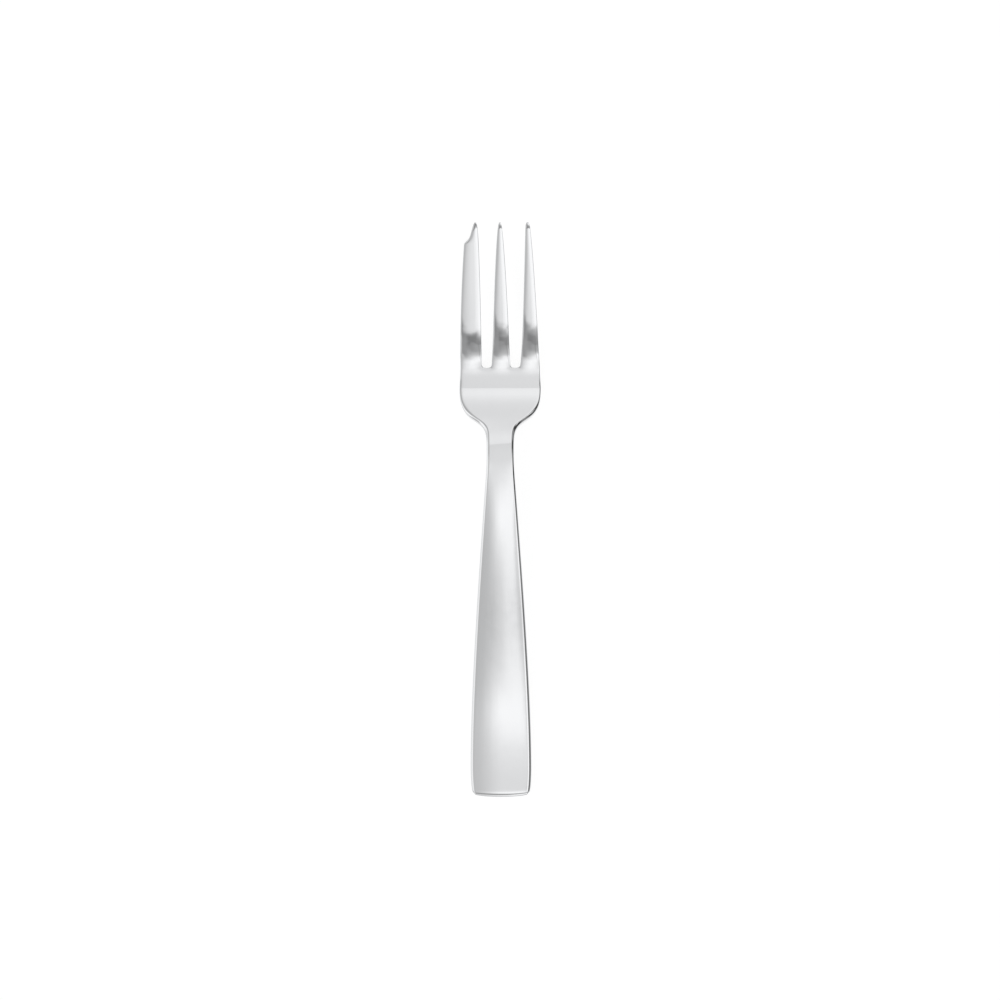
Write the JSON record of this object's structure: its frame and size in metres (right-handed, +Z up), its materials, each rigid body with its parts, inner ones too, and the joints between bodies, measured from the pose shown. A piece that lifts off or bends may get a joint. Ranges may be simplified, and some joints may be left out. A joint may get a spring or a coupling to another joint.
{
  "type": "dessert fork",
  "caption": "Dessert fork pressed from one piece of stainless steel, with a notched wide cutting tine, slim pointed tines, a flat plate, a narrow neck and a handle that widens to a blunt end",
  "frame": {"origin": "middle of the fork's outline, on the table that it lies on", "axes": "+Y from the handle's end to the tips, +X to the right when the hollow side is seen from above, +Z up from the table"},
  "size_m": [0.0212, 0.15, 0.0121],
  "materials": {
    "polished_steel": "stainless steel, polished bright on the head and softer along the handle"
  },
  "bodies": {
    "root": {"fork": "polished_steel"}
  },
  "joints": []
}
